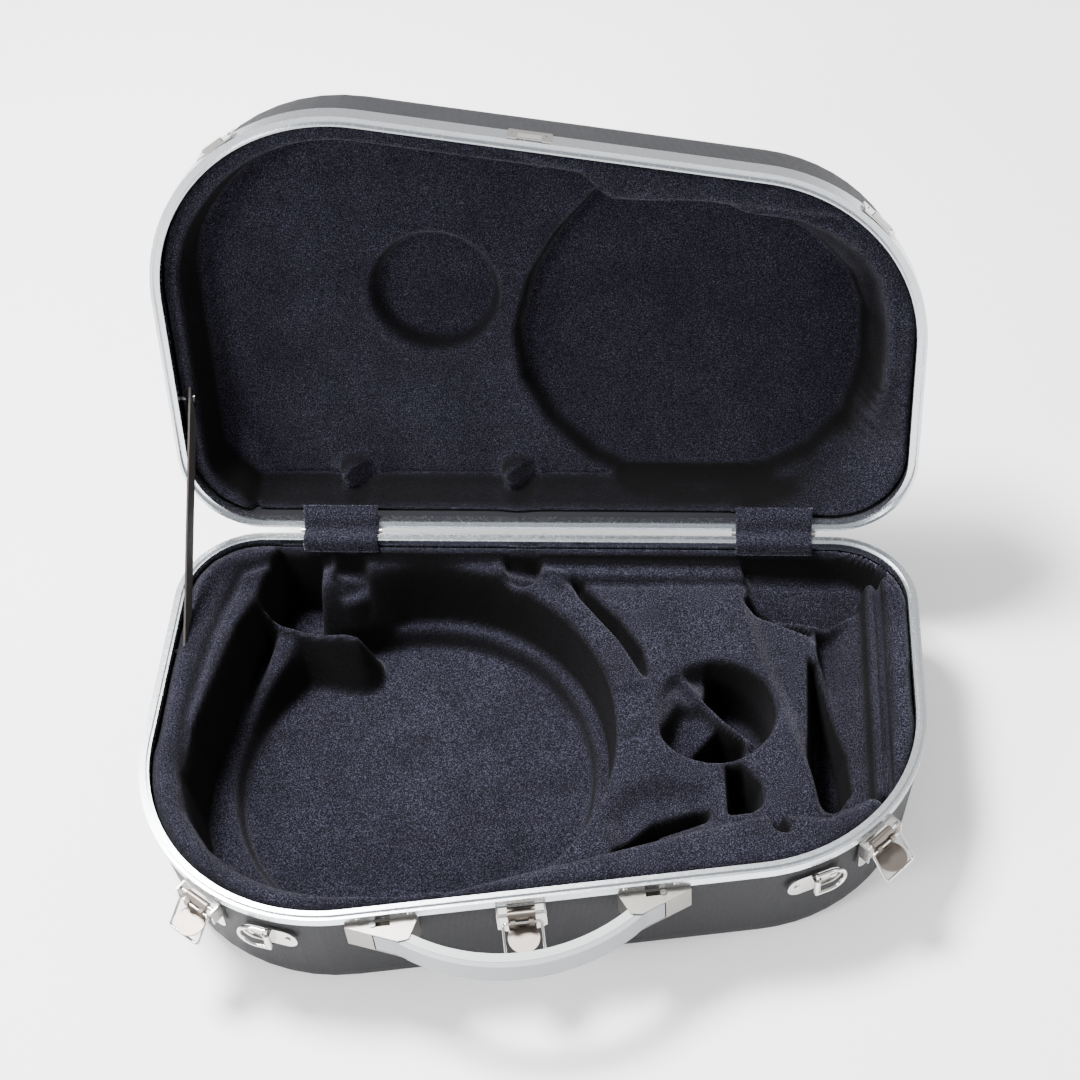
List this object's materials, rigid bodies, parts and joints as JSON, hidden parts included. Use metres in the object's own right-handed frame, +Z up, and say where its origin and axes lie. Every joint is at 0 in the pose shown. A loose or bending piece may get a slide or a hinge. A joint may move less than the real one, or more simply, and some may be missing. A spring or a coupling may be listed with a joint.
{
  "type": "french horn case",
  "caption": "Open hard case for a french horn with a detachable bell: fabric-lined shells, metal rims, hinged lid, toggle latches, carrying rings and a curved grip.",
  "frame": {"origin": "middle of the base's flat underside, below the middle of the opening's width", "axes": "+X right along the hinge line, +Y from the handle to the hinges, +Z up out of the base"},
  "size_m": [0.616, 0.5808, 0.4741],
  "materials": {
    "velour": "crushed velour over foam, soft sheen",
    "velour_cover": "velour flap, soft sheen",
    "shell": "moulded, fine diagonal twill texture",
    "rim": "satin anodised, extruded grooves",
    "strap": "woven webbing",
    "grip_band": "satin silver-grey",
    "grip_insert": "smooth light grey",
    "bracket": "satin cast",
    "lever": "satin, fine grain",
    "steel": "satin",
    "nickel": "bright nickel plate"
  },
  "bodies": {
    "case": {"base_shell": "shell", "base_rim": "rim", "base_floor_pad": "velour", "bell_ledge_pad": "velour", "bell_wall_pad": "velour", "rear_corner_pad": "velour", "valve_block": "velour", "slide_block": "velour", "accessory_wall": "velour", "left_edge_pad": "velour", "front_edge_pad": "velour", "right_edge_pad": "velour", "rear_edge_pad": "velour", "hinge_leaf_base_left": "steel", "hinge_leaf_base_right": "steel", "hinge_pins": "steel", "hinge_cover_left": "velour_cover", "hinge_cover_right": "velour_cover", "lid_strap": "strap", "strap_anchor_base": "steel", "latch_plate_left": "nickel", "latch_plate_centre": "nickel", "latch_plate_right": "nickel", "latch_pins": "steel", "latch_rivets": "steel", "ring_plate_left": "nickel", "ring_plate_right": "nickel", "ring_rivets": "steel", "handle_bracket_left": "bracket", "handle_bracket_right": "bracket", "handle_grip": "grip_band", "handle_insert": "grip_insert", "handle_pin_left": "nickel", "handle_pin_right": "nickel", "bracket_screws": "steel", "hinge_rivets_base": "steel"},
    "lid": {"lid_shell": "shell", "lid_rim": "rim", "lid_main_pad": "velour", "lid_front_block": "velour", "lid_left_pad": "velour", "lid_front_pad": "velour", "lid_right_pad": "velour", "lid_rear_pad": "velour", "hinge_leaf_lid_left": "steel", "hinge_leaf_lid_right": "steel", "strap_anchor_lid": "steel", "strike_left": "nickel", "strike_centre": "nickel", "strike_right": "nickel", "strike_rivets": "steel", "hinge_rivets_lid": "steel"},
    "lever_left": {"latch_lever_left": "lever"},
    "bail_left": {"latch_bail_left": "nickel"},
    "lever_centre": {"latch_lever_centre": "lever"},
    "bail_centre": {"latch_bail_centre": "nickel"},
    "lever_right": {"latch_lever_right": "lever"},
    "bail_right": {"latch_bail_right": "nickel"},
    "ring_left": {"carry_ring_left": "nickel"},
    "ring_right": {"carry_ring_right": "nickel"}
  },
  "joints": [
    {"name": "lid_hinge", "type": "hinge", "parent": "case", "child": "lid", "pos_m": [0, 0.1873, 0.116], "axis": [1, 0, 0], "range_deg": [0, 106.45], "deforming": ["lid_strap", "hinge_cover_left", "hinge_cover_right"]},
    {"name": "latch_lever_left_hinge", "type": "hinge", "parent": "case", "child": "lever_left", "pos_m": [-0.24258, -0.16401, 0.103], "axis": [0.829, -0.5592, 0], "range_deg": [-100, 0]},
    {"name": "latch_bail_left_hinge", "type": "hinge", "parent": "lever_left", "child": "bail_left", "pos_m": [-0.24535, -0.16811, 0.09945], "axis": [-0.829, 0.5592, 0], "range_deg": [0, 155]},
    {"name": "latch_lever_centre_hinge", "type": "hinge", "parent": "case", "child": "lever_centre", "pos_m": [0.002, -0.16955, 0.103], "axis": [0.9885, 0.1513, 0], "range_deg": [-100, 0]},
    {"name": "latch_bail_centre_hinge", "type": "hinge", "parent": "lever_centre", "child": "bail_centre", "pos_m": [0.00274, -0.17443, 0.09945], "axis": [-0.9885, -0.1513, 0], "range_deg": [0, 155]},
    {"name": "latch_lever_right_hinge", "type": "hinge", "parent": "case", "child": "lever_right", "pos_m": [0.2687, -0.09745, 0.103], "axis": [0.7009, 0.7133, 0], "range_deg": [-100, 0]},
    {"name": "latch_bail_right_hinge", "type": "hinge", "parent": "lever_right", "child": "bail_right", "pos_m": [0.27222, -0.10092, 0.09945], "axis": [-0.7009, -0.7133, 0], "range_deg": [0, 155]},
    {"name": "carry_ring_left_hinge", "type": "hinge", "parent": "case", "child": "ring_left", "pos_m": [-0.18886, -0.18652, 0.086], "axis": [0, 0, 1], "range_deg": [0, 150]},
    {"name": "carry_ring_right_hinge", "type": "hinge", "parent": "case", "child": "ring_right", "pos_m": [0.2208, -0.12972, 0.086], "axis": [0, 0, -1], "range_deg": [0, 150]}
  ]
}
